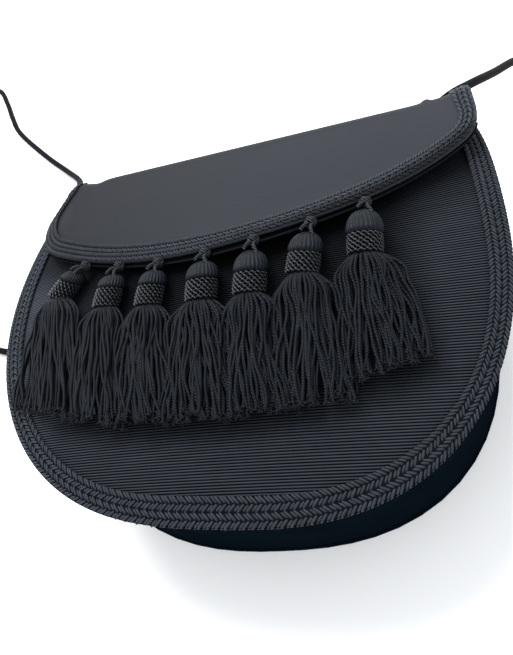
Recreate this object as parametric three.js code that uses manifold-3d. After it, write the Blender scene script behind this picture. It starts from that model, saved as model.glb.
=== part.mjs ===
// A crossbody evening bag in ribbed silk cloth, lying on its back: a round-bottomed pouch with
// a domed front panel, a soft gusset and a flat back, a flap that folds over the straight top,
// flat plaited braid round the front panel and the flap, seven tassels hung from buttons along
// the flap's edge, and a thin cord strap.
//
// Lengths are millimetres. X runs along the width, Y from the round bottom to the straight top,
// and Z up from the surface that the back panel rests on. The origin is under the bag's middle.

import * as THREE from 'three';
import { mergeVertices } from 'three/addons/utils/BufferGeometryUtils.js';
import Module from 'manifold-3d';

const wasm = await Module();
wasm.setup();

const gap = 0.3; // between two pieces that touch
const cloth = 2.0; // wall of the stiffened cloth

// Each panel's outline is a rounded oval, cut straight across at its top. The front's oval is
// turned a little, so that the pouch leans to the right at its top; the back's is upright.
const topY = 80.3;
const front = {
  halfWidth: 106.2, reach: 120.8, middleX: 1.7, widestY: 36, roundness: 2.68, turn: -0.0625,
};
const back = {
  halfWidth: 107.2, reach: 111.5, middleX: 0, widestY: 25.8, roundness: 2.5, turn: 0,
};

// The front panel is a shallow dome, highest at its middle.
const dome = { crown: 82, middleY: 3.3, sideFall: 8.9, sideAt: 105, endFall: 13.2, endAt: 80 };

const gusset = { setBack: 1.0, bow: 2.0 };

// The flap is one cloth: it rises behind the pouch as its top wall, turns over a fold, and lies
// on the front. It is a little narrower at the fold, and its left end droops there.
const flap = {
  left: -97, right: 106, wallLeft: -96.5, wallRight: 101, foldPull: 13.5, frontPull: 10.4,
  wallY: 83, foldRadius: 8, foldZ: 79.1, foldTilt: -0.02,
  droop: 11, droopFrom: 76, rise: 2.4, riseFrom: 80,
  lowestY: 15.6, arcRadius: 165, arcX: -3, leftRadius: 32, rightRadius: 20, lift: 4.8,
};

// The flap's lower edge curls up off the front, most of all a little right of its middle.
const curl = { height: 3.3, x: 22, spread: 42, reach: 15 };

// The front braid is widest at the bottom, and is pulled narrowest at the lower right.
const frontBraid = { width: 10.5, thickness: 1.8 };
const braidPull = {
  sides: 0.876, narrower: 0.181, narrowAt: 0.25, wider: 0.114, wideAt: 0.515, over: 0.09,
};
const flapBraid = { width: 9.5, thickness: 1.7 };

// A tassel hangs from a button knot: a cord stem, a domed head, a netted band round the neck,
// and a skirt of cords that spreads over the front panel.
const knot = { radius: 2.3, belowEdge: 2.8, height: 4.7 };
const tassel = {
  stemRadius: 0.9, neckShare: 0.7, bandShare: 0.89, skirtTop: 6,
  bandLength: 8.8, hemHeight: 3.4, locks: 6, lockRadius: 1.8,
};
const tassels = [
  { knotX: -63.0, neckX: -74.0, hemX: -73.0, hemHalf: 12.4, hemY: -37.5, stem: 3.0, head: 5.0, dome: 6.4 },
  { knotX: -44.5, neckX: -47.5, hemX: -49.6, hemHalf: 10.2, hemY: -43.5, stem: 3.6, head: 5.5, dome: 7.4 },
  { knotX: -25.0, neckX: -27.8, hemX: -28.6, hemHalf: 10.0, hemY: -46.5, stem: 3.0, head: 5.5, dome: 8.0 },
  { knotX: -4.0, neckX: -4.8, hemX: -7.2, hemHalf: 10.6, hemY: -49.5, stem: 3.2, head: 6.4, dome: 9.2 },
  { knotX: 16.0, neckX: 14.0, hemX: 13.6, hemHalf: 9.4, hemY: -49.5, stem: 3.4, head: 6.6, dome: 10.6 },
  { knotX: 38.0, neckX: 33.4, hemX: 33.6, hemHalf: 9.8, hemY: -48.0, stem: 3.4, head: 6.4, dome: 10.0 },
  { knotX: 58.5, neckX: 56.0, hemX: 58.6, hemHalf: 14.4, hemY: -42.0, stem: 3.8, head: 6.8, dome: 12.0 },
];

// The strap is a thin twisted cord, sewn under a cloth tab at each end of the top wall. It comes
// down to the surface, runs out past each corner, and passes behind the pouch.
const strapRadius = 2.1;
const tab = { length: 10.5, height: 8, thickness: 2.4 };
const tabPlaces = { left: { x: -82.6, z: 60 }, right: { x: 89.5, z: 64.4 } };
const strapRoute = [
  [-83.3, 85.7, 60], [-92, 94, 57], [-107, 113, 46.5], [-121, 137, 31], [-140, 165, 13],
  [-162, 190, 3.2], [-184, 212, 2.2], [-223, 256, 2.2], [-235, 277, 2.2], [-248, 303, 2.2],
  [-262, 325, 2.2], [-279, 332, 2.2], [-291, 319, 2.2], [-291, 290, 2.2], [-276, 250, 2.2],
  [-258, 204, 2.2], [-227, 106, 2.2], [-209, 62, 2.2], [-184, 40, 2.2], [-156, 38, 2.2],
  [-137, 56, 2.2], [-124, 84, 2.2], [-102, 106, 2.2], [-60, 115, 2.2], [62, 116, 2.2],
  [98, 101, 2.2], [113, 72, 2.2], [116, 42, 2.2], [128, 27, 2.2], [146, 39, 2.2],
  [166, 80, 2.2], [182, 130, 2.2], [188, 166, 2.2], [176, 178, 3.6], [160, 165, 12.5],
  [141, 138, 37], [126, 118, 50], [111, 100, 62], [101, 91.5, 66.2], [90.2, 85.7, 64.4],
];

const mix = THREE.MathUtils.lerp;
const clamp = THREE.MathUtils.clamp;
const V = (x, y, z) => new THREE.Vector3(x, y, z);

// ---------------------------------------------------------------- closed solids

// A closed geometry from points and triangles, with doubles merged and its faces turned out.
function closedGeometry(points, triangles) {
  const raw = new THREE.BufferGeometry();
  raw.setAttribute('position', new THREE.Float32BufferAttribute(points.flatMap((p) => p.toArray()), 3));
  raw.setIndex(triangles.flat());
  const merged = mergeVertices(raw, 1e-4);
  const index = merged.index.array;
  const at = (i) => new THREE.Vector3().fromBufferAttribute(merged.attributes.position, i);
  const kept = [];
  let volume = 0;
  for (let i = 0; i < index.length; i += 3) {
    const [a, b, c] = [index[i], index[i + 1], index[i + 2]];
    if (a === b || b === c || c === a) continue;
    kept.push([a, b, c]);
    volume += at(a).dot(at(b).cross(at(c)));
  }
  merged.setIndex(kept.flatMap((t) => (volume < 0 ? [t[0], t[2], t[1]] : t)));
  return merged;
}

// A wall between two faces, each given as a function of two shares from 0 to 1. It has one
// column of quads between neighbouring values of `across`, and one row for those of `along`.
function wall(across, along, outerFace, innerFace) {
  const points = [];
  for (const face of [outerFace, innerFace]) {
    for (const s of across) for (const t of along) points.push(face(s, t));
  }
  const [columns, rows] = [across.length, along.length];
  const id = (side, i, j) => (side * columns + i) * rows + j;
  const triangles = [];
  const quad = (a, b, c, d) => triangles.push([a, b, c], [a, c, d]);
  for (let i = 0; i + 1 < columns; i++) {
    for (let j = 0; j + 1 < rows; j++) {
      quad(id(0, i, j), id(0, i + 1, j), id(0, i + 1, j + 1), id(0, i, j + 1));
      quad(id(1, i, j), id(1, i, j + 1), id(1, i + 1, j + 1), id(1, i + 1, j));
    }
    quad(id(0, i, 0), id(1, i, 0), id(1, i + 1, 0), id(0, i + 1, 0));
    quad(id(0, i, rows - 1), id(0, i + 1, rows - 1), id(1, i + 1, rows - 1), id(1, i, rows - 1));
  }
  for (let j = 0; j + 1 < rows; j++) {
    quad(id(0, 0, j), id(0, 0, j + 1), id(1, 0, j + 1), id(1, 0, j));
    quad(id(0, columns - 1, j), id(1, columns - 1, j), id(1, columns - 1, j + 1), id(0, columns - 1, j + 1));
  }
  return closedGeometry(points, triangles);
}

// A solid through rings of points, closed by a flat fan at each end.
function loft(rings) {
  const sides = rings[0].length;
  const points = rings.flat();
  const triangles = [];
  for (let i = 0; i + 1 < rings.length; i++) {
    for (let j = 0; j < sides; j++) {
      const [a, b] = [i * sides + j, i * sides + ((j + 1) % sides)];
      triangles.push([a, b, b + sides], [a, b + sides, a + sides]);
    }
  }
  const last = (rings.length - 1) * sides;
  for (let j = 1; j + 1 < sides; j++) {
    triangles.push([0, j + 1, j], [last, last + j, last + j + 1]);
  }
  return closedGeometry(points, triangles);
}

// A three.js geometry with only its places left and its doubles merged.
function placesOnly(geometry) {
  const plain = geometry.index ? geometry.toNonIndexed() : geometry;
  const points = [];
  const triangles = [];
  for (let i = 0; i < plain.attributes.position.count; i++) {
    points.push(new THREE.Vector3().fromBufferAttribute(plain.attributes.position, i));
    if (i % 3 === 2) triangles.push([i - 2, i - 1, i]);
  }
  return closedGeometry(points, triangles);
}

// Several solids that reach into each other, joined as one.
function fuse(geometries) {
  const solids = geometries.map((geometry) => new wasm.Manifold(new wasm.Mesh({
    numProp: 3,
    vertProperties: new Float32Array(geometry.attributes.position.array),
    triVerts: new Uint32Array(geometry.index.array),
  })));
  const mesh = solids.reduce((sum, solid) => sum.add(solid)).getMesh();
  const joined = new THREE.BufferGeometry();
  joined.setAttribute('position', new THREE.BufferAttribute(mesh.vertProperties, 3));
  joined.setIndex(new THREE.BufferAttribute(mesh.triVerts, 1));
  return joined;
}

// Shares from 0 to 1 in equal steps.
function steps(count) {
  return Array.from({ length: count + 1 }, (_, i) => i / count);
}

// ---------------------------------------------------------------- the pouch

// Height of the front panel's outer face over a place on the bag.
function frontZ(x, y) {
  const side = x / dome.sideAt;
  const end = (y - dome.middleY) / dome.endAt;
  return dome.crown - dome.sideFall * side * side - dome.endFall * end * end;
}

// A place on the outline's whole oval at an angle about its middle, moved in by `inset`.
function ovalPlace(form, angle, inset) {
  const power = (value) => Math.sign(value) * Math.abs(value) ** (form.roundness - 1);
  const [c, s] = [Math.cos(angle), Math.sin(angle)];
  const reach = (Math.abs(c) ** form.roundness + Math.abs(s) ** form.roundness) ** (-1 / form.roundness);
  const [x, y] = [c * reach, s * reach];
  const away = new THREE.Vector2(power(x) / form.halfWidth, power(y) / form.reach).normalize();
  const place = new THREE.Vector2(
    x * form.halfWidth - away.x * inset, y * form.reach - away.y * inset,
  );
  return place.rotateAround(new THREE.Vector2(), form.turn)
    .add(new THREE.Vector2(form.middleX, form.widestY));
}

// The angle at which the oval crosses the straight top, between two angles below and above it.
function topAngle(form, below, above) {
  for (let i = 0; i < 30; i++) {
    const middle = (below + above) / 2;
    if (ovalPlace(form, middle, 0).y < topY) below = middle;
    else above = middle;
  }
  return below;
}
for (const form of [front, back]) {
  form.start = topAngle(form, 0, Math.PI / 2);
  form.end = topAngle(form, Math.PI, Math.PI / 2) - 2 * Math.PI;
}

// A place on the outline, moved in by `inset`. It goes from the right end of the straight top,
// at share 0, down round the bottom to the left end, at share 1.
function outlinePlace(form, share, inset) {
  return ovalPlace(form, mix(form.start, form.end, share), inset);
}

// A panel of the pouch's outline between two heights, each a function of the place. Its rows
// run across it, from one side of the outline to the other.
function panel(form, columns, rows, highZ, lowZ) {
  const face = (height) => (s, t) => {
    const left = outlinePlace(form, 1 - t / 2, 0);
    const place = left.lerp(outlinePlace(form, t / 2, 0), 0.5 - 0.5 * Math.cos(Math.PI * s));
    return V(place.x, place.y, height(place.x, place.y));
  };
  return wall(steps(columns), steps(rows), face(highZ), face(lowZ));
}

// The gusset joins the two panels round the sides and the bottom, and bows in a little.
function gussetWall() {
  const face = (setBack) => (s, t) => {
    const inset = setBack + gusset.bow * Math.sin(Math.PI * t);
    const place = outlinePlace(front, s, inset).lerp(outlinePlace(back, s, inset), t);
    const rimZ = frontZ(place.x, place.y) - cloth - gap;
    return V(place.x, place.y, mix(rimZ, cloth + gap, t));
  };
  return wall(steps(44), steps(3), face(gusset.setBack), face(gusset.setBack + cloth));
}

// ---------------------------------------------------------------- the flap

const foldY = flap.wallY - flap.foldRadius;
const arcY = flap.lowestY + flap.arcRadius;

// The rounded corner at one end of the flap's lower edge: its middle, and its radius.
function endCorner(sideX, radius) {
  const x = sideX - Math.sign(sideX) * radius;
  const y = arcY - Math.sqrt((flap.arcRadius - radius) ** 2 - (x - flap.arcX) ** 2);
  return { x, y, radius, angle: Math.atan2(y - arcY, x - flap.arcX) };
}
const leftCorner = endCorner(flap.left, flap.leftRadius);
const rightCorner = endCorner(flap.right, flap.rightRadius);

// The flap's lower edge over x: the long arc, and at each end the rounded corner.
function lowerEdge(x) {
  for (const corner of [leftCorner, rightCorner]) {
    const meetX = flap.arcX + flap.arcRadius * Math.cos(corner.angle);
    if (corner.x < 0 ? x < meetX : x > meetX) {
      return corner.y - Math.sqrt(Math.max(corner.radius ** 2 - (x - corner.x) ** 2, 0));
    }
  }
  return arcY - Math.sqrt(flap.arcRadius ** 2 - (x - flap.arcX) ** 2);
}

// Height of the fold along the bag: nearly level, drooping at its left end and rising at its right.
function foldZ(x) {
  const left = Math.max(-x - flap.droopFrom, 0) / (-flap.left - flap.droopFrom);
  const right = Math.max(x - flap.riseFrom, 0) / (flap.right - flap.riseFrom);
  return flap.foldZ + flap.foldTilt * x - flap.droop * left ** 1.3 + flap.rise * right * right;
}

function edgeCurl(x, y) {
  const near = Math.max(1 - (y - lowerEdge(x)) / curl.reach, 0);
  return curl.height * Math.exp(-(((x - curl.x) / curl.spread) ** 2)) * near ** 1.7;
}

// Height of the flap's outer face: it follows the front panel, and gains the fold's height above.
function flapZ(x, y) {
  const up = clamp((y - flap.lowestY) / (foldY - flap.lowestY), 0, 1) ** 1.5;
  const gain = foldZ(x) - frontZ(x, foldY) - flap.lift;
  return frontZ(x, y) + flap.lift + up * gain + edgeCurl(x, y);
}

// Moves a place along the flap to the right, by the full pull at the left end and none at the right.
function pulled(x, pull) {
  return x + pull * (flap.right - x) / (flap.right - flap.left);
}

// A place on the flap, raised off its outer face, over x on its lower edge. The run goes 0 to 1 up
// the top wall, 1 to 2 round the fold, and 2 to 3 down the front to the flap's lower edge.
function flapPlace(x, run, raise) {
  if (run < 2) {
    const foldX = pulled(x, mix(flap.foldPull, flap.frontPull, Math.max(run - 1, 0)));
    const middleZ = foldZ(foldX) - flap.foldRadius;
    const wallX = mix(flap.wallLeft, flap.wallRight, (x - flap.left) / (flap.right - flap.left));
    if (run < 1) return V(mix(wallX, foldX, run), flap.wallY + raise, run * middleZ);
    const turn = (run - 1) * (Math.PI / 2);
    const radius = flap.foldRadius + raise;
    return V(foldX, foldY + radius * Math.cos(turn), middleZ + radius * Math.sin(turn));
  }
  const down = run - 2;
  const frontX = pulled(x, flap.frontPull * (1 - down) ** 1.4);
  const y = mix(foldY, lowerEdge(x), down);
  return V(frontX, y, flapZ(frontX, y) + raise);
}

function flapCloth() {
  const runs = [0, 0.5, 1, 1.3, 1.65, 2, 2.15, 2.35, 2.55, 2.74, 2.88, 3];
  const face = (raise) => (s, t) => {
    const share = 0.5 - 0.5 * Math.cos(Math.PI * (0.12 + 0.76 * s));
    const even = (share - 0.5) / Math.cos(Math.PI * 0.12) + 0.5;
    return flapPlace(mix(flap.left, flap.right, even), t, raise);
  };
  return wall(steps(22), runs, face(0), face(-cloth));
}

// A place along the flap's edge, moved in by `inset`: over the left end of the fold, down the
// side, round the corner, along the arc, and up the other side. Each stretch is one unit long.
function flapEdgePlace(along, inset, raise) {
  const stretch = Math.min(Math.floor(along), 6);
  const share = along - stretch;
  const leftX = flap.left + inset;
  const rightX = flap.right - inset;
  if (stretch === 0) return flapPlace(leftX, 1 + share, raise);
  if (stretch === 6) return flapPlace(rightX, 2 - share, raise);
  const onFront = (x, y) => V(x, y, flapZ(x, y) + raise);
  const round = (middle, radius, from, to) => {
    const angle = mix(from, to, share);
    const reach = radius - inset;
    return onFront(middle.x + reach * Math.cos(angle), middle.y + reach * Math.sin(angle));
  };
  const [a, b] = [leftCorner.angle, rightCorner.angle];
  if (stretch === 1) {
    const x = pulled(leftX, flap.frontPull * (1 - share) ** 1.4);
    return onFront(x, mix(foldY, leftCorner.y, share));
  }
  if (stretch === 5) return onFront(rightX, mix(rightCorner.y, foldY, share));
  if (stretch === 2) return round(leftCorner, leftCorner.radius, -Math.PI, a);
  if (stretch === 4) return round(rightCorner, rightCorner.radius, b, 0);
  return round(new THREE.Vector2(flap.arcX, arcY), flap.arcRadius, a, b);
}

// ---------------------------------------------------------------- braid

// A flat braid, thickest along its middle. The places come from a function of the share along
// it, the inset across it and the height above what it is sewn to.
function braid(size, along, place) {
  const across = [0, 0.28, 0.72, 1];
  const bulge = (s) => 0.6 + 0.4 * Math.sin(Math.PI * s);
  return wall(
    across, along,
    (s, t) => place(t, s * size.width, gap + size.thickness * bulge(s)),
    (s, t) => place(t, s * size.width, gap),
  );
}

function frontEdgePlace(share, inset, raise) {
  const bell = (at) => Math.exp(-(((share - at) / braidPull.over) ** 2));
  const kept = braidPull.sides - braidPull.narrower * bell(braidPull.narrowAt)
    + braidPull.wider * bell(braidPull.wideAt);
  const place = outlinePlace(front, share, inset * kept);
  return V(place.x, place.y, frontZ(place.x, place.y) + raise);
}

// ---------------------------------------------------------------- tassels

// Raises a solid that is modelled over a flat table so that it lies on the domed front panel.
function onPanel(geometry) {
  const place = geometry.attributes.position;
  for (let i = 0; i < place.count; i++) {
    place.setZ(i, place.getZ(i) + frontZ(place.getX(i), place.getY(i)));
  }
  return geometry;
}

// The line that a tassel's head lies along, from the top of its dome to the end of its neck.
function headLine(row) {
  const topX = mix(row.knotX, row.neckX, 0.25);
  const topY0 = lowerEdge(row.knotX) - knot.belowEdge - row.stem;
  const length = row.dome + tassel.bandLength;
  const lean = Math.asin((row.neckX - topX) / length);
  const height = gap + row.head;
  return { top: V(topX, topY0, height), lean, length };
}

// A solid turned about the head's line, from a profile of radius and distance from its top.
function turnedOnHead(row, profile, sides) {
  const line = headLine(row);
  const turned = new THREE.LatheGeometry(
    profile.map(([radius, down]) => new THREE.Vector2(radius, -down)), sides,
  );
  turned.rotateZ(line.lean).translate(line.top.x, line.top.y, line.top.z);
  return placesOnly(turned);
}

function tasselHead(row) {
  const { stemRadius, neckShare } = tassel;
  const { head, dome } = row;
  const stemTop = knot.radius + gap - row.stem;
  const neckEnd = headLine(row).length;
  return turnedOnHead(row, [
    [0, stemTop], [stemRadius, stemTop], [stemRadius, 0.4], [head * 0.55, dome * 0.12],
    [head * 0.86, dome * 0.32], [head, dome * 0.56], [head, dome - 0.4],
    [head * neckShare, dome], [head * neckShare, neckEnd + 2], [0, neckEnd + 2],
  ], 11);
}

function tasselBand(row) {
  const bandRadius = row.head * tassel.bandShare;
  const inner = row.head * tassel.neckShare + gap;
  const start = row.dome + gap;
  const end = row.dome + tassel.bandLength - gap;
  const rim = bandRadius - 0.4;
  return turnedOnHead(row, [
    [inner, start], [inner, end], [rim, end], [bandRadius, end - 1.2], [bandRadius, start + 1.2],
    [rim, start], [inner, start],
  ], 10);
}

// The skirt's middle line and half sizes at a share of the way from the neck to the hem.
function skirtSection(row, share) {
  const line = headLine(row);
  const neckY = line.top.y - line.length * Math.cos(line.lean)
    - row.head * tassel.bandShare * Math.abs(Math.sin(line.lean));
  const spread = 1 - (1 - share) ** 2;
  return {
    x: mix(row.neckX, row.hemX, share),
    y: mix(neckY, row.hemY, share),
    halfWidth: mix(tassel.skirtTop, row.hemHalf, spread),
    halfHeight: mix(tassel.skirtTop, tassel.hemHeight, share),
  };
}

// A point on the skirt's oval section, within its outer face by `inX` and `inZ`.
function skirtPoint(section, angle, inX, inZ) {
  return V(
    section.x + (section.halfWidth - inX) * Math.sin(angle),
    section.y,
    gap + section.halfHeight + (section.halfHeight - inZ) * Math.cos(angle),
  );
}

function skirtCore(row) {
  const angles = steps(10).slice(1).map((share) => share * 2 * Math.PI);
  return loft([0, 0.22, 0.55, 0.97].map((share) => {
    const section = skirtSection(row, share);
    const inside = tassel.lockRadius * 0.8;
    return angles.map((angle) => skirtPoint(section, angle, inside, inside));
  }));
}

// One lock of cords, lying in the skirt's outer face from the neck to the hem.
function skirtLock(row, number) {
  const angle = ((number + 0.5) / tassel.locks - 0.5) * 1.12 * Math.PI;
  const hemShare = number % 2 ? 1 : 0.96;
  const corners = steps(5).slice(1).map((share) => share * 2 * Math.PI);
  return loft([0.02, 0.25, 0.55, 1].map((step) => {
    const section = skirtSection(row, step * hemShare);
    const radius = tassel.lockRadius * mix(0.7, 1, step);
    const width = radius * mix(1, row.hemHalf / tassel.skirtTop, step);
    const middle = skirtPoint(section, angle, width, radius);
    return corners.map((corner) => V(
      middle.x + width * Math.cos(corner), middle.y, middle.z + radius * Math.sin(corner),
    ));
  }));
}

function tasselBody(row) {
  const locks = Array.from({ length: tassel.locks }, (_, number) => skirtLock(row, number));
  return onPanel(fuse([tasselHead(row), skirtCore(row), ...locks]));
}

function buttonKnot(row) {
  const ball = new THREE.SphereGeometry(knot.radius, 8, 5);
  const y = lowerEdge(row.knotX) - knot.belowEdge;
  ball.translate(row.knotX, y, knot.height + 0.9 * edgeCurl(row.knotX, lowerEdge(row.knotX)));
  return onPanel(placesOnly(ball));
}

// ---------------------------------------------------------------- strap

function strapCord() {
  const points = strapRoute.map(([x, y, z]) => V(x, y, z));
  const section = new THREE.Shape(steps(8).slice(1).map((share) => new THREE.Vector2(
    strapRadius * Math.cos(share * 2 * Math.PI), strapRadius * Math.sin(share * 2 * Math.PI),
  )));
  return placesOnly(new THREE.ExtrudeGeometry(section, {
    extrudePath: new THREE.CatmullRomCurve3(points), steps: 74, bevelEnabled: false,
  }));
}

// A cloth tab on the outer face of the top wall, rounded at the end away from the cord.
function strapTab(place) {
  const round = tab.height / 2;
  const shape = new THREE.Shape();
  shape.moveTo(0, -round);
  shape.lineTo(0, round);
  shape.absarc(round - tab.length, 0, round, Math.PI / 2, 1.5 * Math.PI, false);
  const plate = new THREE.ExtrudeGeometry(shape, {
    depth: tab.thickness, bevelEnabled: false, curveSegments: 8,
  });
  plate.rotateX(Math.PI / 2).scale(Math.sign(place.x), 1, 1);
  plate.translate(place.x, flap.wallY + gap + tab.thickness, place.z);
  return placesOnly(plate);
}

// ---------------------------------------------------------------- the assembly

function finish(colour, roughness) {
  return new THREE.MeshStandardMaterial({ color: colour, roughness, metalness: 0 });
}

const finishes = {
  ribbed: () => finish(0x22262c, 0.62),
  gusset: () => finish(0x10151b, 0.8),
  flap: () => finish(0x34383e, 0.55),
  braid: () => finish(0x262b31, 0.5),
  yarn: () => finish(0x14181d, 0.55),
  net: () => finish(0x2a2f33, 0.35),
  cord: () => finish(0x30343a, 0.6),
};

const bag = new THREE.Group();

function add(name, geometry, material) {
  const mesh = new THREE.Mesh(geometry, material);
  mesh.name = name;
  bag.add(mesh);
}

const frontRim = (x, y) => frontZ(x, y) - cloth;
add('front_panel', panel(front, 10, 22, frontZ, frontRim), finishes.ribbed());
add('back_panel', panel(back, 1, 22, () => cloth, () => 0), finishes.gusset());
add('gusset', gussetWall(), finishes.gusset());
add('flap', flapCloth(), finishes.flap());
add('front_braid', braid(frontBraid, steps(44), frontEdgePlace), finishes.braid());
const flapStretches = [0, 0.3, 0.65, 1, 1.33, 1.66, 2, 2.33, 2.66, ...steps(22).map((s) => 3 + s),
  4.33, 4.66, 5, 5.33, 5.66, 6, 6.35, 6.7, 6.9999];
add('flap_braid', braid(flapBraid, flapStretches, flapEdgePlace), finishes.braid());
tassels.forEach((row, i) => {
  add(`tassel_knot_${i + 1}`, buttonKnot(row), finishes.net());
  add(`tassel_band_${i + 1}`, onPanel(tasselBand(row)), finishes.net());
  add(`tassel_${i + 1}`, tasselBody(row), finishes.yarn());
});
add('strap_tab_left', strapTab(tabPlaces.left), finishes.flap());
add('strap_tab_right', strapTab(tabPlaces.right), finishes.flap());
add('strap', strapCord(), finishes.cord());

export default bag;
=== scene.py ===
# A crossbody evening bag lying on its back: a round-bottomed pouch in ribbed dark cloth with a
# fold-over flap, flat plaited braid round the front and the flap, seven tassels, and a cord strap.
import bisect
import math
import random

import bpy
from mathutils import Matrix, Vector


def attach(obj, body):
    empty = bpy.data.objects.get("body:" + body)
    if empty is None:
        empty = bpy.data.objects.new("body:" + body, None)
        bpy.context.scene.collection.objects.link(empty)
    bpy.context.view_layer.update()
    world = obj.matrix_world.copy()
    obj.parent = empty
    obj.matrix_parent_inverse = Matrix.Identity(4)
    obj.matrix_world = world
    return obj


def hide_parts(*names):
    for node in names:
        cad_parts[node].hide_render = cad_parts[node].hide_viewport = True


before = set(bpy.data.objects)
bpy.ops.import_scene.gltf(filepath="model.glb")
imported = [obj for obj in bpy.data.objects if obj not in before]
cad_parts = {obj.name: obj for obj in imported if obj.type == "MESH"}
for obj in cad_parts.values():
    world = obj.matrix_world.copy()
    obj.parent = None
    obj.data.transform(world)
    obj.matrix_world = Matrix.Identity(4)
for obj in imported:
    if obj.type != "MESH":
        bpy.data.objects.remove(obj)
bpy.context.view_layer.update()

bpy.ops.object.select_all(action="DESELECT")
bpy.context.scene.view_settings.view_transform = "Standard"

# ---------------------------------------------------------------------------- camera
# The bag is looked down on from the right of its round bottom, with a short lens held close, so
# that its far end draws in.
bpy.ops.object.camera_add(
    location=(0.06313, -0.10761, 0.23749),
    rotation=(math.radians(28.3744), math.radians(17.6128), math.radians(-0.5764)),
)
camera = bpy.context.object
camera.name = "camera"
camera.data.lens = 28.394
camera.data.sensor_width = 36
camera.data.clip_start = 0.01
bpy.context.scene.camera = camera


# ---------------------------------------------------------------------------- strap
# A limp cord of three strands twisted together, sewn under a tab at each end of the bag's top.
# It comes down to the table, runs out past both corners, and its middle passes behind the bag.
class Shade:
    """A shader socket that can be added, taken away and multiplied like a number."""

    def __init__(self, tree, socket):
        self.tree = tree
        self.socket = socket

    def node(self, kind, settings=None, out=0, **inputs):
        """A node, its settings set first. Its inputs go by name, or by number as i0, i1 and so on."""
        made = self.tree.nodes.new("ShaderNode" + kind)
        for name, value in (settings or {}).items():
            setattr(made, name, value)
        for name, value in inputs.items():
            numbered = name[0] == "i" and name[1:].isdigit()
            target = made.inputs[int(name[1:]) if numbered else name.replace("_", " ")]
            if isinstance(value, Shade):
                self.tree.links.new(value.socket, target)
            else:
                target.default_value = value
        return Shade(self.tree, made.outputs[out])

    def maths(self, kind, a, b=0.0):
        return self.node("Math", {"operation": kind}, i0=a, i1=b)

    def __add__(self, other):
        return self.maths("ADD", self, other)

    def __sub__(self, other):
        return self.maths("SUBTRACT", self, other)

    def __rsub__(self, other):
        return self.maths("SUBTRACT", other, self)

    def __mul__(self, other):
        return self.maths("MULTIPLY", self, other)

    __radd__ = __add__
    __rmul__ = __mul__

    def sine(self):
        return self.maths("SINE", self)

    def fraction(self):
        return self.maths("FRACT", self)

    def power(self, other):
        return self.maths("POWER", self, other)

    def larger(self, other):
        return self.maths("MAXIMUM", self, other)

    def part(self, axis):
        return self.node("SeparateXYZ", out="XYZ".index(axis), Vector=self)

    def noise(self, scale, detail=2.0):
        return self.node("TexNoise", Vector=self, Scale=scale, Detail=detail)

    def stretched(self, x, y, z):
        """The coordinates scaled along each axis."""
        return self.node("Mapping", Vector=self, Scale=(x, y, z))

    def ramp(self, start, end, low=0.0, high=1.0, kind="LINEAR"):
        """From low where this is at the start, to high where it is at the end."""
        return self.node("MapRange", {"interpolation_type": kind}, Value=self,
                         From_Min=start, From_Max=end, To_Min=low, To_Max=high)

    def blend(self, low, high):
        """From the colour low, where this is 0, to the colour high, where it is 1."""
        return self.node("Mix", {"data_type": "RGBA"}, 2, i0=self, i6=(*low, 1), i7=(*high, 1))


def new_finish(name, specular=0.5):
    """A material, its shader, and the place on the object, where its patterns start."""
    material = bpy.data.materials.new(name)
    material.use_nodes = True
    tree = material.node_tree
    shader = tree.nodes["Principled BSDF"]
    shader.inputs["Specular IOR Level"].default_value = specular
    coordinates = tree.nodes.new("ShaderNodeTexCoord")
    return material, shader, Shade(tree, coordinates.outputs["Object"])


def feed(shader, colour, roughness, height, depth):
    """Joins a finish's colour, roughness and fine relief, of a depth in metres, to its shader."""
    links = colour.tree.links
    links.new(colour.socket, shader.inputs["Base Color"])
    if isinstance(roughness, Shade):
        links.new(roughness.socket, shader.inputs["Roughness"])
    else:
        shader.inputs["Roughness"].default_value = roughness
    relief = height.node("Bump", Height=height, Distance=depth, Strength=1.0)
    links.new(relief.socket, shader.inputs["Normal"])


def finished(piece, name, material, slot, *nodes):
    """Names a piece, gives it its material, and puts it in the place of its plain solids."""
    piece.name = piece.data.name = name
    piece.data.materials.clear()
    piece.data.materials.append(material)
    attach(piece, "root")
    if nodes:
        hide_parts(*nodes)


def only(piece):
    """Selects one piece alone and makes it the active one."""
    bpy.ops.object.select_all(action="DESELECT")
    piece.select_set(True)
    bpy.context.view_layer.objects.active = piece


def tidied(piece, recalculate=True):
    """Merges a piece's doubles, turns its faces out and shades it smooth."""
    only(piece)
    bpy.ops.object.mode_set(mode="EDIT")
    bpy.ops.mesh.select_all(action="SELECT")
    bpy.ops.mesh.remove_doubles(threshold=0.000004)
    if recalculate:
        bpy.ops.mesh.normals_make_consistent(inside=False)
    bpy.ops.object.mode_set(mode="OBJECT")
    bpy.ops.object.shade_smooth()
    return piece


def curved_through(route, spacing, fine_steps=60):
    """Points at even spacing along a smooth line through the route's points."""
    ends = [route[0] * 2 - route[1], *route, route[-1] * 2 - route[-2]]
    fine = []
    for four in zip(ends, ends[1:], ends[2:], ends[3:]):
        knots = [0.0]
        for start, end in zip(four, four[1:]):
            knots.append(knots[-1] + math.sqrt((end - start).length))
        for step in range(fine_steps):
            now = knots[1] + (knots[2] - knots[1]) * step / fine_steps
            row = four
            for reach in (1, 2):
                row = [
                    a.lerp(b, (now - knots[i]) / (knots[i + reach] - knots[i]))
                    for i, (a, b) in enumerate(zip(row, row[1:]))
                ]
            fine.append(row[0].lerp(row[1], step / fine_steps))
    fine.append(route[-1])
    even, carried = [fine[0]], 0.0
    for start, end in zip(fine, fine[1:]):
        carried += (end - start).length
        if carried >= spacing:
            even.append(end)
            carried -= spacing
    even[-1] = fine[-1]
    return even


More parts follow.
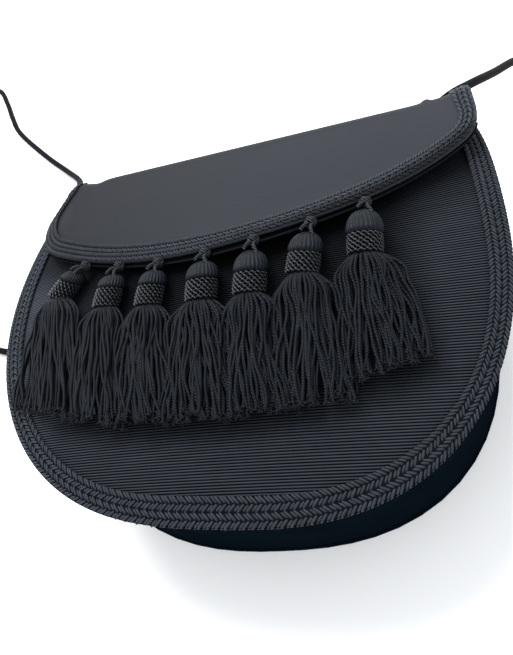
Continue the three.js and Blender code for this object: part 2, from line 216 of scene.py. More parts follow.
strap_radius, strap_step, strap_lay = 0.0021, 0.0008, 0.0125
strap_route = [
    (-83.3, 85.7, 60), (-92, 94, 57), (-107, 113, 46.5), (-121, 137, 31), (-140, 165, 13),
    (-162, 190, 3.2), (-184, 212, 2.2), (-223, 256, 2.2), (-235, 277, 2.2), (-248, 303, 2.2),
    (-262, 325, 2.2), (-279, 332, 2.2), (-291, 319, 2.2), (-291, 290, 2.2), (-276, 250, 2.2),
    (-258, 204, 2.2), (-227, 106, 2.2), (-209, 62, 2.2), (-184, 40, 2.2), (-156, 38, 2.2),
    (-137, 56, 2.2), (-124, 84, 2.2), (-102, 106, 2.2), (-60, 115, 2.2), (62, 116, 2.2),
    (98, 101, 2.2), (113, 72, 2.2), (116, 42, 2.2), (128, 27, 2.2), (146, 39, 2.2),
    (166, 80, 2.2), (182, 130, 2.2), (188, 166, 2.2), (176, 178, 3.6), (160, 165, 12.5),
    (141, 138, 37), (126, 118, 50), (111, 100, 62), (101, 91.5, 66.2), (90.2, 85.7, 64.4),
]
strap_line = curved_through([Vector(point) / 1000 for point in strap_route], strap_step)
for point in strap_line:
    point.z = max(point.z, strap_radius + 0.0001)
strap_length = sum((end - start).length for start, end in zip(strap_line, strap_line[1:]))

# The cord's cross-section has three round strands that touch, and turns once in each lay.
section_points = 18
bpy.ops.curve.primitive_bezier_circle_add(radius=1)
strap_section = bpy.context.object
strap_section.data.splines.clear()
outline = strap_section.data.splines.new("POLY")
outline.points.add(section_points - 1)
outline.use_cyclic_u = True
for number, point in enumerate(outline.points):
    turn = number / section_points * math.tau
    bulge = strap_radius * (0.86 + 0.14 * abs(math.cos(1.5 * turn)))
    point.co = (bulge * math.cos(turn), bulge * math.sin(turn), 0, 1)

bpy.ops.curve.primitive_bezier_curve_add()
strap = bpy.context.object
strap.data.splines.clear()
strap.data.dimensions = "3D"
strap.data.twist_mode = "MINIMUM"
line = strap.data.splines.new("POLY")
line.points.add(len(strap_line) - 1)
for number, (point, place) in enumerate(zip(line.points, strap_line)):
    point.co = (*place, 1)
    point.tilt = -number * strap_step / strap_lay * math.tau
strap.data.bevel_mode = "OBJECT"
strap.data.bevel_object = strap_section
strap.data.use_fill_caps = True
only(strap)
bpy.ops.object.convert(target="MESH")
tidied(strap)
bpy.data.objects.remove(strap_section)

cord_finish, shader, place = new_finish("twisted cord", specular=0.02)
fibres = place.node("TexCoord", out="UV").stretched(9000, 60, 1).noise(1.0, 1.0)
clouding = place.noise(60)
feed(shader, (fibres * 0.6 + clouding * 0.4).blend((0.003, 0.0034, 0.0045), (0.009, 0.0098, 0.012)),
     0.6, fibres, 0.00012)
finished(strap, "strap_cord", cord_finish, "cord", "strap")

# ---------------------------------------------------------------------------- front panel
# The pouch's front is corded silk over a stiffener: fine ribs run across it, and it is domed a
# little by what it is stretched over.
MM = 0.001
top_y = 80.3
# An oval's half width, half height, middle x and y, squareness and turn.
front_oval = (106.2, 120.8, 1.7, 36.0, 2.68, -0.0625)


def front_z(x, y):
    """Height of the front's outer face."""
    return 82 - 8.9 * (x / 105) ** 2 - 13.2 * ((y - 3.3) / 80) ** 2


def inside_oval(oval, x, y):
    """Whether a place is inside an oval and below the pouch's straight top."""
    half, reach, middle_x, middle_y, power, turn = oval
    across, up = x - middle_x, y - middle_y
    c, s = math.cos(turn), math.sin(turn)
    u, v = across * c + up * s, up * c - across * s
    return abs(u / half) ** power + abs(v / reach) ** power <= 1 and y <= top_y


def shaped_grid(columns, rows, place_at):
    """A grid whose every point is moved to the place of its two shares."""
    bpy.ops.mesh.primitive_grid_add(x_subdivisions=columns, y_subdivisions=rows, size=1)
    piece = bpy.context.object
    for vertex in piece.data.vertices:
        vertex.co = Vector(place_at(vertex.co.x + 0.5, vertex.co.y + 0.5)) * MM
    return piece


def thickened(piece, thickness, offset=-1.0):
    """Gives a sheet its thickness, behind its faces or, with an offset of 1, in front of them."""
    bpy.context.view_layer.objects.active = piece
    wall = piece.modifiers.new("wall", "SOLIDIFY")
    wall.thickness = thickness * MM
    wall.offset = offset
    bpy.ops.object.modifier_apply(modifier=wall.name)


ribbed_oval = (105, 119.6, *front_oval[2:])
rib_pitch, rib_height, rib_rows, rib_lowest = 0.957, 0.5, 5, -84.4
rib_tilt = math.radians(-1.4)
rib_count = int((top_y - rib_lowest) / rib_pitch)
rib_ends = {}


def rib_y(v, x):
    """Height on the panel of a rib's line, a little fanned out towards the top right."""
    fan = max(v + 45, 0) / 55 * max(x - 20, 0) / 60
    return v + x * math.tan(rib_tilt) + 2.7 * fan * fan


def rib_end(v, direction):
    """Where the line of a rib leaves the panel's outline, to the left or the right."""
    near, far = 0.0, 130.0      # the panel is never as wide as this
    for _ in range(26):
        middle = (near + far) / 2
        if inside_oval(ribbed_oval, direction * middle, rib_y(v, direction * middle)):
            near = middle
        else:
            far = middle
    return direction * near


def rib_place(s, t):
    """A place on the panel: along a rib, and from row to row over the ribs' round crests."""
    row = round(t * rib_count * rib_rows)
    v = rib_lowest + row / rib_rows * rib_pitch
    if row not in rib_ends:
        rib_ends[row] = rib_end(v, -1), rib_end(v, 1)
    left, right = rib_ends[row]
    x = left + (right - left) * (0.5 - 0.5 * math.cos(math.pi * s))
    y = rib_y(v, x)
    share = row % rib_rows / rib_rows
    crest = math.sqrt(max(1 - (2 * share - 1) ** 2, 0))
    return x, y, front_z(x, y) - rib_height + rib_height * crest


front_panel = shaped_grid(26, rib_count * rib_rows, rib_place)
tidied(front_panel)
thickened(front_panel, 1.7)

ribbed, shader, place = new_finish("ribbed silk", specular=0.03)
# Painted shade and light: over the ribs' real relief, the colour is near black in the grooves between
# the ribs and pale along their crests.
rib_share = (place.node("TexCoord", out="UV").part("Y") * rib_count).fraction()
crest = (rib_share * math.pi).sine().power(2.6)
slubs = place.stretched(60, 1050, 60).noise(1.0, 3.0)
threads = (place.part("X") * (math.tau / 0.00032)).sine() * 0.5 + 0.5
# Painted shadow: the cloth is darkest close under the flap's round edge and under the row of
# tassels, and a painted highlight makes it palest at its left side.
across, down = place.part("X") + 0.003, place.part("Y") - 0.1806
from_middle = (across * across + down * down).power(0.5)
painted_flap_shadow = from_middle.ramp(0.166, 0.190, 0.12, 0.4, "SMOOTHSTEP")
painted_left_highlight = place.part("X").ramp(-0.068, -0.088, 1.0, 2.0)
# Painted shadow: clear is 0.35 under the row of tassels, and 1 beyond them and to the sides.
clear = from_middle.ramp(0.230, 0.240, 0.35, 1.0)
for start, end in ((0.066, 0.080), (-0.050, -0.080)):
    clear = clear.larger(place.part("X").ramp(start, end, 0.35, 1.0))
tone = (crest * 0.85 + slubs * 0.3 - 0.15) * painted_flap_shadow * painted_left_highlight * clear
feed(shader, tone.blend((0.0003, 0.0005, 0.0008), (0.105, 0.120, 0.150)), 0.7 + slubs * 0.1,
     threads * 0.3 + slubs * 0.5, 0.00006)
finished(front_panel, "ribbed_front", ribbed, "ribbed_cloth", "front_panel")

# ---------------------------------------------------------------------------- back and gusset
# The back is flat and lies on the table. The gusset is one dull strip of the same cloth sewn
# round the sides and the bottom, and it draws in a little between the two panels.
# Painted shade: this cloth, which also covers the back, is far darker than the front's same cloth,
# for the shadow that the gusset and back lie in.
gusset_finish, shader, place = new_finish("gusset cloth", specular=0.0)
weave = (place.part("Z") * (math.tau / 0.00096)).sine() * 0.5 + 0.5
tone = weave * 0.4 + place.noise(45, 3.0) * 0.6
feed(shader, tone.blend((0.001, 0.0022, 0.004), (0.004, 0.0075, 0.012)), 0.9,
     weave + place.noise(2500) * 0.4, 0.0001)

back_oval = (107.2, 111.5, 0.0, 25.8, 2.5, 0.0)


def oval_place(oval, angle, inset):
    """A place on a panel's whole oval at an angle about its middle, moved in by the inset."""
    half, reach, middle_x, middle_y, power, turn = oval
    c, s = math.cos(angle), math.sin(angle)
    size = (abs(c) ** power + abs(s) ** power) ** (-1 / power)
    x, y = c * size, s * size
    away = Vector((
        math.copysign(abs(x) ** (power - 1), x) / half,
        math.copysign(abs(y) ** (power - 1), y) / reach,
    )).normalized()
    x, y = x * half - away.x * inset, y * reach - away.y * inset
    c, s = math.cos(turn), math.sin(turn)
    return Vector((middle_x + x * c - y * s, middle_y + x * s + y * c))


def top_angle(oval, below, above):
    """The angle at which the oval crosses the pouch's straight top."""
    for _ in range(30):
        middle = (below + above) / 2
        if oval_place(oval, middle, 0).y < top_y:
            below = middle
        else:
            above = middle
    return below


edge_angles = {
    oval: (top_angle(oval, 0, math.pi / 2), top_angle(oval, math.pi, math.pi / 2) - math.tau)
    for oval in (front_oval, back_oval)
}


def outline_place(oval, share, inset):
    """A place on a panel's outline, from the right end of the top down round to the left end."""
    first, last = edge_angles[oval]
    return oval_place(oval, first + (last - first) * share, inset)


def gusset_place(s, t):
    """A place on the strip: round the outline, and from the front's rim down to the back's."""
    drawn_in = math.sin(math.pi * t) * (2.0 + 0.4 * math.sin(s * 21 + 1))
    inset = 1 + drawn_in
    place = outline_place(front_oval, s, inset).lerp(outline_place(back_oval, s, inset), t)
    rim = front_z(place.x, place.y) - 2.0
    return place.x, place.y, rim + (2.2 - rim) * t


gusset = tidied(shaped_grid(220, 26, gusset_place), recalculate=False)
thickened(gusset, 1.6)
finished(gusset, "gusset_strip", gusset_finish, "gusset_cloth", "gusset")


def clothed(node, material):
    """Gives a plain solid that stays in sight its cloth."""
    solid = bpy.data.objects[node]
    solid.data.materials.clear()
    solid.data.materials.append(material)


clothed("back_panel", gusset_finish)

# ---------------------------------------------------------------------------- flap
# One piece of smooth fine cloth with dark lining: it rises behind the pouch as its top wall,
# turns over a soft fold and lies on the front. Its left end droops, and the lining's edge shows.
flap_left, flap_right, wall_left, wall_right = -97, 106, -96.5, 101
wall_y, fold_radius, fold_pull, front_pull = 83, 8, 13.5, 10.4
fold_y = wall_y - fold_radius
low_y, arc_radius, arc_x, lift = 15.6, 165, -3, 4.8
arc_y = low_y + arc_radius


def end_corner(side_x, radius):
    """The rounded corner at one end of the flap's edge: its middle, radius and last angle."""
    x = side_x - math.copysign(radius, side_x)
    y = arc_y - math.sqrt((arc_radius - radius) ** 2 - (x - arc_x) ** 2)
    return x, y, radius, math.atan2(y - arc_y, x - arc_x)


left_corner, right_corner = end_corner(flap_left, 32), end_corner(flap_right, 20)


def lower_edge(x):
    """The flap's lower edge: a long arc with a rounded corner at each end."""
    for middle_x, middle_y, radius, angle in (left_corner, right_corner):
        meet = arc_x + arc_radius * math.cos(angle)
        if (x < meet) if middle_x < 0 else (x > meet):
            return middle_y - math.sqrt(max(radius ** 2 - (x - middle_x) ** 2, 0))
    return arc_y - math.sqrt(arc_radius ** 2 - (x - arc_x) ** 2)


def fold_z(x):
    """Height of the fold along the bag, drooping at its left end and rising at its right."""
    left = max(-x - 76, 0) / (-flap_left - 76)
    right = max(x - 80, 0) / (flap_right - 80)
    return 79.1 - 0.02 * x - 11 * left ** 1.3 + 2.4 * right * right


def edge_curl(x, y):
    """How far the flap's lower edge curls up off the front, most a little right of its middle."""
    near = max(1 - (y - lower_edge(x)) / 15, 0)
    return 3.3 * math.exp(-((x - 22) / 42) ** 2) * near ** 1.7


def flap_z(x, y):
    """Height of the flap's face where it lies on the front."""
    up = min(max((y - low_y) / (fold_y - low_y), 0), 1) ** 1.5
    return front_z(x, y) + lift + up * (fold_z(x) - front_z(x, fold_y) - lift) + edge_curl(x, y)


def pulled(x, pull):
    """Moves a place to the right, by the full pull at the flap's left end, none at its right."""
    return x + pull * (flap_right - x) / (flap_right - flap_left)


def flap_place(x, run, raised):
    """A place on the flap: up the top wall for runs 0 to 1, round the fold to 2, down to 3."""
    if run < 2:
        fold_x = pulled(x, fold_pull + (front_pull - fold_pull) * max(run - 1, 0))
        middle = fold_z(fold_x) - fold_radius
        if run < 1:
            wall_x = wall_left + (wall_right - wall_left) * (x - flap_left) / (flap_right - flap_left)
            return wall_x + (fold_x - wall_x) * run, wall_y + raised, run * middle
        turn = (run - 1) * math.pi / 2
        radius = fold_radius + raised
        return fold_x, fold_y + radius * math.cos(turn), middle + radius * math.sin(turn)
    down = run - 2
    front_x = pulled(x, front_pull * (1 - down) ** 1.4)
    y = fold_y + (lower_edge(x) - fold_y) * down
    return front_x, y, flap_z(front_x, y) + raised


def flap_sheet(raised, spread):
    """The flap's surface, raised, and let out past the edge by the spread at its middle."""
    pucker_x, stud_x, crowding = -68.5, 88.8, 0.12

    def place_at(s, t):
        share = 0.5 - 0.5 * math.cos(math.pi * (crowding + (1 - 2 * crowding) * s))
        even = (share - 0.5) / math.cos(math.pi * crowding) + 0.5
        run = t * 3
        x, y, z = flap_place(flap_left + (flap_right - flap_left) * even, run, raised)
        # At the fold are a small pucker and a stud under the cloth.
        z -= 1.3 * math.exp(-((x - pucker_x) / 4.5) ** 2 - ((run - 1.5) / 0.45) ** 2)
        z += 1.5 * math.exp(-((x - stud_x) / 1.7) ** 2 - ((run - 1.45) / 0.22) ** 2)
        if run > 2:
            y -= spread * (0.15 + 0.85 * math.exp(-((x - 8) / 52) ** 2)) * (run - 2) ** 6
        return x, y, z
    return place_at


flap_finish, shader, place = new_finish("flap cloth", specular=0.05)
fine = (place.part("Y") * (math.tau / 0.00052)).sine() * 0.5 + 0.5
grain = place.stretched(300, 1900, 300).noise(1.0)
# Painted light: the flap's cloth is paler towards its right end.
painted_light_to_right = place.part("X") * 5.2 + 0.5
tone = place.noise(38, 3.0) * 0.15 + grain * 0.15 + painted_light_to_right * 0.7
feed(shader, tone.blend((0.0122, 0.0134, 0.0164), (0.0305, 0.0336, 0.0397)),
     0.55 + grain * 0.12, fine * 0.5 + grain * 0.6, 0.00004)
flap_cloth = tidied(shaped_grid(120, 120, flap_sheet(0, 0)), recalculate=False)
thickened(flap_cloth, 1.0, 1.0)
finished(flap_cloth, "flap_cloth", flap_finish, "flap_cloth", "flap")

# The lining's near-black colour is partly its own dark cloth and partly painted shade, for the shadow
# under the flap's edge. The same finish is painted shade on the front braid's ground and the tassels'
# necks.
lining_and_shade_finish, shader, place = new_finish("flap lining", specular=0.0)
feed(shader, place.noise(90).blend((0.003, 0.0036, 0.005), (0.006, 0.007, 0.009)), 0.8,
     place.noise(3000), 0.0001)
lining_place = flap_sheet(-2.0, 2.2)
flap_lining = tidied(shaped_grid(60, 60, lining_place), recalculate=False)
thickened(flap_lining, 0.5, 1.0)
finished(flap_lining, "flap_lining", lining_and_shade_finish, "gusset_cloth")

def corded(lines, radius, roundness=1):
    """Round cords along lines of points, each point with its share of the radius."""
    bpy.ops.curve.primitive_bezier_curve_add()
    cords = bpy.context.object
    cords.data.splines.clear()
    cords.data.dimensions = "3D"
    cords.data.bevel_depth = radius * MM
    cords.data.bevel_resolution = roundness
    cords.data.use_fill_caps = True
    for line in lines:
        spline = cords.data.splines.new("POLY")
        spline.points.add(len(line) - 1)
        for point, (x, y, z, share) in zip(spline.points, line):
            point.co = (x * MM, y * MM, z * MM, 1)
            point.radius = share
    only(cords)
    bpy.ops.object.convert(target="MESH")
    bpy.ops.object.shade_smooth()
    return bpy.context.object


# The lining's edge is rolled into a thin hem.
hem_finish, shader, place = new_finish("lining hem", specular=0.0)
feed(shader, place.noise(700).blend((0.005, 0.0055, 0.0075), (0.012, 0.013, 0.016)), 0.7,
     place.noise(3000), 0.0001)
hem_steps = 119
hem_line = [(*lining_place(0.01 + 0.98 * step / hem_steps, 1), 1) for step in range(hem_steps + 1)]
finished(corded([hem_line], 0.45, roundness=2), "lining_hem", hem_finish, "gusset_cloth")

# ---------------------------------------------------------------------------- braid
# A flat plait of lustrous yarn in four columns of slanting stitches, sewn round the front's rim
# and, a little narrower, down the flap's ends and along its edge. A strip of cloth lies under it.
def braid_finish(name, dark, light, painted_light_to_right, painted_light_to_sides, painted_rim_shade):
    """Lustrous yarn with painted light, paler to the right and to the sides, and painted shade on a
    rim that rolls under.
    """
    made, shader, place = new_finish(name, specular=0.12)
    fibres = place.stretched(4200, 4200, 4200).noise(1.0)
    x, y = place.part("X") + 0.003, place.part("Y") - 0.1806
    tone = fibres * 0.45 + place.noise(420, 1.0) * 0.55 + x * painted_light_to_right + x * x * painted_light_to_sides
    # Painted shade: the outer rim, which rolls under, is darkened.
    if painted_rim_shade:
        rim = (x * x + y * y).power(0.5).ramp(0.1603, 0.1632)
        tone = tone - rim * x.ramp(-0.01, 0.05, 0, painted_rim_shade)
    feed(shader, tone.blend(dark, light), 0.5, fibres, 0.0001)
    return made


def joined(pieces):
    """Several pieces as one."""
    only(pieces[0])
    for piece in pieces[1:]:
        piece.select_set(True)
    bpy.ops.object.join()
    return pieces[0]


def repeated(piece, count, step):
    """A row of equal copies, each one `step` on from the last."""
    bpy.context.view_layer.objects.active = piece
    row = piece.modifiers.new("row", "ARRAY")
    row.count = count
    row.use_relative_offset = False
    row.use_constant_offset = True
    row.constant_offset_displace = step
    bpy.ops.object.modifier_apply(modifier=row.name)
    return piece


def even_shares(place_at, inset, steps=900):
    """A line's length, and a function from a share of its length to the share its places take."""
    line = [Vector(place_at(step / steps, inset, 0)) for step in range(steps + 1)]
    run = [0.0]
    for start, end in zip(line, line[1:]):
        run.append(run[-1] + (end - start).length)

    def share_at(even):
        reach = min(max(even, 0), 1) * run[-1]
        step = min(max(bisect.bisect_left(run, reach), 1), steps)
        return (step - (run[step] - reach) / (run[step] - run[step - 1])) / steps
    return run[-1], share_at


def plaited(width, pitch, thickness, slant, place_at):
    """A flat braid and the strip under it, laid along a line of places and across its inset."""
    length, share_at = even_shares(place_at, width / 2)
    count = round(length / pitch)
    across = width / 4
    # One pitch of the plait has two yarns in each of its four columns, the second a little smaller
    # and lower. The middle columns lie half a pitch on, and neighbours slant opposite ways.
    yarns = []
    for column in range(4):
        for second in (0, 1):
            bpy.ops.mesh.primitive_uv_sphere_add(segments=8, ring_count=6, radius=0.5)
            yarn = bpy.context.object
            start = 0.5 if column in (1, 2) else 0.05
            middle = (pitch * (start + 0.43 * second), (column + 0.5) * across,
                      thickness * (0.45 - 0.12 * second))
            size = (across * (1.62 - 0.12 * second), pitch * 0.38, thickness * 1.2, 1)
            turn = math.radians(slant if column % 2 else -slant)
            yarn.data.transform(
                Matrix.Translation(middle) @ Matrix.Rotation(turn, 4, "Z") @ Matrix.Diagonal(size))
            yarns.append(yarn)
    braid = repeated(joined(yarns), count, (pitch, 0, 0))
    bpy.ops.mesh.primitive_grid_add(x_subdivisions=count * 2, y_subdivisions=6, size=1)
    ground = bpy.context.object
    for vertex in ground.data.vertices:
        along, over = vertex.co.x + 0.5, vertex.co.y + 0.5
        vertex.co = (along * pitch * count, (0.04 + 0.92 * over) * width, 0.2)
    for piece in (braid, ground):
        for vertex in piece.data.vertices:
            even = vertex.co.x / (pitch * count)
            inset = min(max(vertex.co.y, 0.1), width - 0.1)
            vertex.co = Vector(place_at(share_at(even), inset, vertex.co.z)) * MM
        tidied(piece, recalculate=piece is braid)
    thickened(ground, 0.7)
    return braid, ground


def front_edge(along, inset, raised):
    """A place along the front's rim: the braid is narrowest at the lower right, widest below."""
    narrow = (0.876 - 0.181 * math.exp(-((along - 0.25) / 0.09) ** 2)
              + 0.114 * math.exp(-((along - 0.515) / 0.09) ** 2))
    place = outline_place(front_oval, along, inset * narrow + 0.1)
    return place.x, place.y, front_z(place.x, place.y) + 0.3 + raised


# The stretches of the flap's edge, and the share of the way along it where each one ends.
edge_stretches = {
    "left fold": 0.04, "left side": 0.09, "left corner": 0.22, "arc": 0.80,
    "right corner": 0.90, "right side": 0.95, "right fold": 1.0,
}


def flap_edge(along, inset, raised):
    """A place along the flap's edge, from its left end at the fold round to its right end."""
    raised += 0.2 - 1.1 * max(1 - inset / 2.4, 0) ** 2
    inset *= 1 - 0.25 * math.exp(-((along - 0.84) / 0.16) ** 2)
    start = 0.0
    for stretch, end in edge_stretches.items():
        if along <= end:
            break
        start = end
    share = (along - start) / (end - start)
    if stretch == "left fold":
        return flap_place(flap_left + inset, 1 + share, raised)
    if stretch == "right fold":
        return flap_place(flap_right - inset, 2 - share, raised)
    left_x, left_y, left_radius, first = left_corner
    right_x, right_y, right_radius, last = right_corner
    if stretch == "left side":
        x = pulled(flap_left + inset, front_pull * (1 - share) ** 1.4)
        y = fold_y + (left_y - fold_y) * share
    elif stretch == "right side":
        x = flap_right - inset
        y = right_y + (fold_y - right_y) * share
    else:
        middle_x, middle_y, radius, turn, turn_end = {
            "left corner": (left_x, left_y, left_radius, -math.pi, first),
            "arc": (arc_x, arc_y, arc_radius, first, last),
            "right corner": (right_x, right_y, right_radius, last, 0.0),
        }[stretch]
        turn += (turn_end - turn) * share
        x = middle_x + (radius - inset) * math.cos(turn)
        y = middle_y + (radius - inset) * math.sin(turn)
    return x, y, flap_z(x, y) + raised


# Painted light: the front braid is darker to the right and paler at its sides; the flap braid is
# paler to the right, with painted shade on its rolled rim.
front_yarn = braid_finish("plaited_front_braid_yarn", (0.004, 0.0052, 0.0072), (0.046, 0.053, 0.067),
                          painted_light_to_right=-1.0, painted_light_to_sides=10, painted_rim_shade=0)
flap_yarn = braid_finish("plaited_flap_braid_yarn", (0.008, 0.0095, 0.0125), (0.053, 0.059, 0.072),
                         painted_light_to_right=2.4, painted_light_to_sides=0, painted_rim_shade=0.75)
# The front braid's ground takes the near-black lining finish: painted shade between its stitches.
for name, node, width, pitch, slant, place_at, yarn_finish, ground_finish, ground_slot in (
    ("plaited_front_braid", "front_braid", 10.5, 3.15, 45, front_edge,
     front_yarn, lining_and_shade_finish, "gusset_cloth"),
    ("plaited_flap_braid", "flap_braid", 9.0, 2.8, 40, flap_edge,
     flap_yarn, flap_finish, "flap_cloth"),
):
    braid, ground = plaited(width, pitch, 1.3, slant, place_at)
    finished(braid, name, yarn_finish, "braid", node)
    finished(ground, name + "_ground", ground_finish, ground_slot)

# ---------------------------------------------------------------------------- tassels
# Each tassel hangs from a button knot at the flap's edge by a short cord. Its head is wound with
# yarn, its neck is covered with knotted netting, and its skirt is of loose twisted cords.
yarn, shader, place = new_finish("tassel cord", specular=0.12)
lean = place.part("Y") * 0.9 + place.part("X") * 0.55 + place.noise(180) * 0.0016
twist = (lean * (math.tau / 0.00082)).sine() * 0.5 + 0.5
tone = twist * 0.35 + place.noise(260, 1.0) * 0.65
feed(shader, tone.blend((0.0001, 0.0002, 0.0006), (0.0108, 0.0140, 0.0210)), 0.55, twist, 0.00016)

winding, shader, place = new_finish("wound yarn", specular=0.1)
fibres = place.noise(2600, 1.0)
tone = fibres * 0.5 + place.noise(300) * 0.5
feed(shader, tone.blend((0.001, 0.002, 0.003), (0.0102, 0.0132, 0.0188)), 0.5, fibres, 0.0001)

netting, shader, place = new_finish("netting", specular=0.45)
fibres = place.noise(900, 1.0)
tone = fibres * 0.7 + place.noise(500) * 0.3
feed(shader, tone.blend((0.0005, 0.0008, 0.001), (0.0265, 0.0315, 0.0375)), 0.42, fibres, 0.0001)

button, shader, place = new_finish("button knot", specular=0.06)
lean = place.part("Y") + place.part("X") * 0.8
twist = (lean * (math.tau / 0.0012)).sine() * 0.5 + 0.5
feed(shader, twist.blend((0.0015, 0.002, 0.003), (0.046, 0.050, 0.059)), 0.55, twist, 0.0003)

tassel_rows = [
    # knot x, neck x, left and right ends of the hem (x, y), stem, head's radius, dome's length
    (-63.0, -74.0, (-86.6, -34.2), (-57.0, -42.4), 1.6, 5.0, 6.4),
    (-44.5, -47.5, (-62.6, -41.4), (-37.0, -47.0), 3.6, 5.5, 7.4),
    (-25.0, -27.8, (-42.9, -44.0), (-16.5, -48.0), 2.6, 5.5, 8.0),
    (-4.0, -4.8, (-20.6, -48.0), (7.4, -49.0), 2.8, 6.4, 9.2),
    (16.0, 14.0, (1.2, -48.5), (25.5, -48.5), 3.4, 6.6, 10.6),
    (38.0, 33.4, (20.5, -48.0), (45.0, -47.0), 3.4, 6.4, 10.0),
    (58.5, 56.0, (44.6, -42.4), (71.6, -35.2), 3.8, 6.8, 12.0),
]
knot_below, knot_height, head_skew, band_length = 2.8, 4.7, 2.7, 8.8
cord_steps, hair_steps, stem_steps = 40, 5, 16


def head_axis(row):
    """Top of a tassel's head, and the way down along it."""
    knot_x, neck_x, _, _, stem, head_radius, dome_length = row
    top_x = knot_x + (neck_x - knot_x) * 0.25
    top_y = lower_edge(knot_x) - knot_below - stem
    lean = math.asin((neck_x - top_x) / (dome_length + band_length))
    return Vector((top_x, top_y, 0.3 + head_radius)), Vector((math.sin(lean), -math.cos(lean), 0))


def on_head(row, turn, radius, down):
    """A place at a radius round the head's axis, whose rings lean forward off the domed front."""
    top, way = head_axis(row)
    side = Vector((-way.y, way.x, 0))
    up = Vector((0, 0, 1))
    down += head_skew * math.cos(turn) * radius / 6.5
    p = top + way * down + side * (radius * math.sin(turn)) + up * (radius * math.cos(turn))
    return p.x, p.y, p.z + front_z(p.x, p.y)


def dome_radius(share):
    """The wound head's share of its radius: rounded on top, widest low down, drawn in at the neck."""
    if share >= 1:
        return 0.66
    return max(math.sqrt(1 - (1 - min(share / 0.82, 1)) ** 2.2), 0.08) - max(share - 0.86, 0) * 1.1


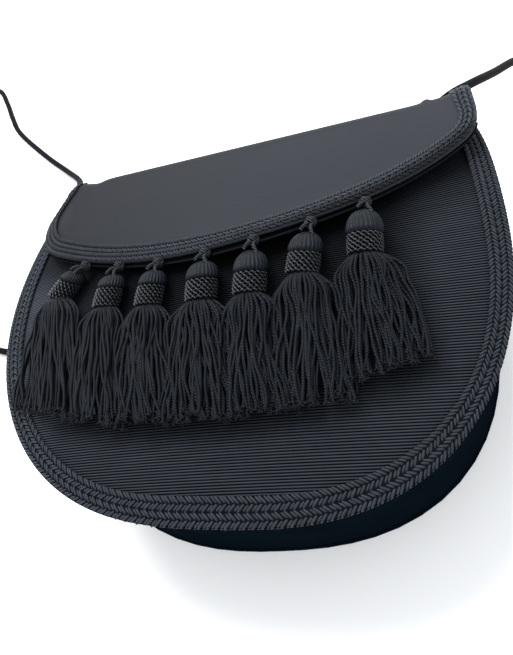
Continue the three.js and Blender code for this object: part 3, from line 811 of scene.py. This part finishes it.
for number, row in enumerate(tassel_rows, 1):
    random.seed(number)
    knot_x, _, (left_x, left_y), (right_x, right_y), _, head_radius, dome_length = row

    # The head is wound with ridges of yarn, rounded on top and drawn in to the neck.
    threads = 26

    def dome_place(s, t):
        down = t * (dome_length + band_length + 1)
        turn = s * math.tau + 0.3 * t
        ridge = abs(math.sin(s * threads * math.pi))
        closed = min(t, 1 - t) < 0.001
        radius = 0 if closed else head_radius * dome_radius(down / dome_length)
        return on_head(row, turn, radius * (0.9 + 0.1 * ridge), down)

    dome = tidied(shaped_grid(threads * 4, 26, dome_place))
    finished(dome, f"tassel_head_{number}", winding, "yarn")

    # A dark sleeve covers the neck under the net: painted shade, for the shadow between the net's
    # strands.
    def neck_place(s, t):
        down = dome_length + 0.3 + t * (band_length - 0.6)
        return on_head(row, s * math.tau, head_radius * 0.76, down)

    neck = tidied(shaped_grid(24, 4, neck_place))
    thickened(neck, 0.4)
    finished(neck, f"tassel_neck_{number}", lining_and_shade_finish, "gusset_cloth")

    # The net has two sets of knotted strands, the finer one behind, that slope across each other.
    # Each strand stands straight first: X is its share round the neck, Y its height off the neck,
    # and Z runs along it.
    strands, strand_cuts, knots, girth = 17, 23, 6, 33
    net = []
    for slope, raised, size in ((0.25, 0.30, 0.37), (-0.25, -0.08, 0.16)):
        bpy.ops.mesh.primitive_cylinder_add(vertices=8, radius=size, depth=1, end_fill_type="NGON")
        strand = bpy.context.object
        bpy.ops.object.mode_set(mode="EDIT")
        bpy.ops.mesh.select_mode(type="EDGE")
        bpy.ops.mesh.select_all(action="DESELECT")
        bpy.ops.object.mode_set(mode="OBJECT")
        ends = [vertex.co.z for vertex in strand.data.vertices]
        for edge in strand.data.edges:
            edge.select = ends[edge.vertices[0]] != ends[edge.vertices[1]]
        bpy.ops.object.mode_set(mode="EDIT")
        bpy.ops.mesh.subdivide(number_cuts=strand_cuts)
        bpy.ops.object.mode_set(mode="OBJECT")
        for vertex in strand.data.vertices:
            x, y, z = vertex.co
            knotted = math.sin((z + 0.5) * knots * math.pi) ** 2
            thick = 0.6 + 0.75 * knotted
            share = x * thick / girth + slope * z + 0.5 * abs(slope)
            vertex.co = (share, y * thick + raised + 0.3 * knotted, z)
        net.append(repeated(strand, strands, (1 / strands, 0, 0)))
    net = joined(net)
    for vertex in net.data.vertices:
        s, raised, t = vertex.co
        down = dome_length - 0.2 + (t + 0.5) * (band_length - 0.2)
        bulge = head_radius * 0.8 + 0.2 * math.sin(math.pi * (t + 0.5))
        vertex.co = Vector(on_head(row, s * math.tau, bulge + raised, down)) * MM
    tidied(net)
    finished(net, f"tassel_net_{number}", netting, "netting", f"tassel_band_{number}")

    # The skirt has three layers of cords, which spring out below the net and fan out to the hem,
    # and each cord's end frays into three short hairs.
    top, way = head_axis(row)
    neck_end = top + way * (dome_length + band_length - 0.3)
    lines = []
    for layer, count, widest in ((1.0, 32, 0.62), (0.8, 21, 0.56), (0.56, 10, 0.5)):
        for index in range(count):
            turn = ((index + random.random()) / count * 2 - 1) * widest * math.pi
            side, high = math.sin(turn), math.cos(turn)
            fan = math.sin(turn * 0.5 / widest)
            share = 0.5 + 0.5 * fan * layer + random.uniform(-0.13, 0.13)
            hem_x = left_x + (right_x - left_x) * share
            hem_y = left_y + (right_y - left_y) * share + random.uniform(-2.2, 1.6)
            flare = random.uniform(1.4, 2.6)
            swing, phase = random.uniform(0.6, 2.6), random.uniform(0, math.tau)
            twist, kink = random.uniform(0.6, 1.5), random.uniform(0.1, 0.55)
            bulge = random.uniform(1.6, 3.4) * layer
            line = []
            for step in range(cord_steps + 1):
                t = step / cord_steps
                ease = 1 - (1 - t) ** flare
                rise = min(t / 0.05, 1)
                puff = math.exp(-((t - 0.17) / 0.13) ** 2) * bulge
                radius = (head_radius * 0.62 + rise * 0.8) * layer
                x = neck_end.x + (radius + puff) * side + (hem_x - neck_end.x - radius * side) * ease
                x += swing * math.sin(phase + twist * 5 * t) * min(t * 2.2, 1) * (1 - 0.2 * t)
                x += kink * math.sin(3 * phase + 17 * t) * t
                y = neck_end.y - head_skew * 0.8 * high * layer * (1 - t) ** 3
                y += (hem_y - neck_end.y) * t
                middle = (head_radius + 0.1) * (1 - t) + 3.6 * t
                thick = (head_radius * 0.63 + rise * 0.8 + puff * 0.55) * (1 - t) + 3.4 * t
                z = middle + thick * high * layer + 0.5 * math.sin(phase * 2 + 7 * t) * t
                line.append((x, y, max(z, 0.8) + front_z(x, y), 1))
            lines.append(line)
            for _ in range(3):
                x, y, z, _ = line[-1]
                angle, bend = random.uniform(-2.7, -0.4), random.uniform(-1.4, 1.4)
                hair = []
                for step in range(hair_steps):
                    hair.append((x, y, z, 0.85 - 0.13 * step))
                    x += 0.46 * math.cos(angle)
                    y += 0.46 * math.sin(angle)
                    z = max(z + random.uniform(-0.35, 0.2), front_z(x, y) + 0.4)
                    angle += bend * 0.6
                lines.append(hair)
    finished(corded(lines, 0.58), f"tassel_cords_{number}", yarn, "yarn", f"tassel_{number}")

    # The button knot is three loops of cord drawn tight through each other.
    curl = edge_curl(knot_x, lower_edge(knot_x))
    knot_y = lower_edge(knot_x) - knot_below + 0.8
    knot_z = front_z(knot_x, knot_y) + knot_height + 0.9 * curl
    loops = []
    for rotation in ((0, 0, 0.3), (math.pi / 2, 0, 0.5), (math.pi / 2, 0, 0.5 + math.pi / 2)):
        bpy.ops.mesh.primitive_torus_add(
            location=(knot_x * MM, knot_y * MM, knot_z * MM), rotation=rotation,
            major_radius=0.0015, minor_radius=0.00105, major_segments=20, minor_segments=8)
        loops.append(bpy.context.object)
    knot = joined(loops)
    bpy.ops.object.transform_apply(location=True, rotation=True, scale=True)
    bpy.ops.object.shade_smooth()
    finished(knot, f"button_knot_{number}", button, "netting", f"tassel_knot_{number}")

    # Two cords tie the head to its knot, one ending a little lower on the head than the other.
    stem_start = Vector((knot_x, knot_y - 0.8, knot_z))
    lines = []
    for apart, down in ((-1, 0.4), (1, 2.8)):
        stem_end = Vector(on_head(row, apart * 0.6 + 0.12, 0.68 * head_radius, down))
        line = []
        for step in range(stem_steps + 1):
            t = step / stem_steps
            p = stem_start.lerp(stem_end, t)
            p.x += apart * 0.55 * math.cos(t * 5) * (1 - t)
            p.z += 1.5 * math.sin(math.pi * t) - 0.3 * t
            line.append((p.x, p.y, p.z, 1))
        lines.append(line)
    finished(corded(lines, 0.72), f"tassel_stem_{number}", button, "yarn")

# ---------------------------------------------------------------------------- tabs
# A small tab of the flap's cloth is sewn over each end of the cord, on the outside of the top
# wall, and holds it.
clothed("strap_tab_left", flap_finish)
clothed("strap_tab_right", flap_finish)

# ---------------------------------------------------------------------------- table and light
# The bag lies on a plain pale table, in even light from all round and from one large soft lamp
# beyond its straight top.
bpy.ops.mesh.primitive_plane_add(size=12)
table = bpy.context.object
table.name = "table"
table_finish, shader, _ = new_finish("table")
shader.inputs["Base Color"].default_value = (0.95, 0.95, 0.95, 1)
shader.inputs["Roughness"].default_value = 0.9
table.data.materials.append(table_finish)

world = bpy.data.worlds.new("soft room")
bpy.context.scene.world = world
world.use_nodes = True
room = world.node_tree.nodes["Background"]
room.inputs["Color"].default_value = (0.96, 0.98, 1.0, 1)
room.inputs["Strength"].default_value = 1.25

bpy.ops.object.light_add(type="AREA", location=(-0.3, 0.8, 1.15))
lamp = bpy.context.object
lamp.data.shape = "DISK"
lamp.data.size = 0.9
lamp.data.energy = 27
bag_middle = Vector((0, 0, 0.05))
lamp.rotation_euler = (bag_middle - lamp.location).to_track_quat("-Z", "Y").to_euler()
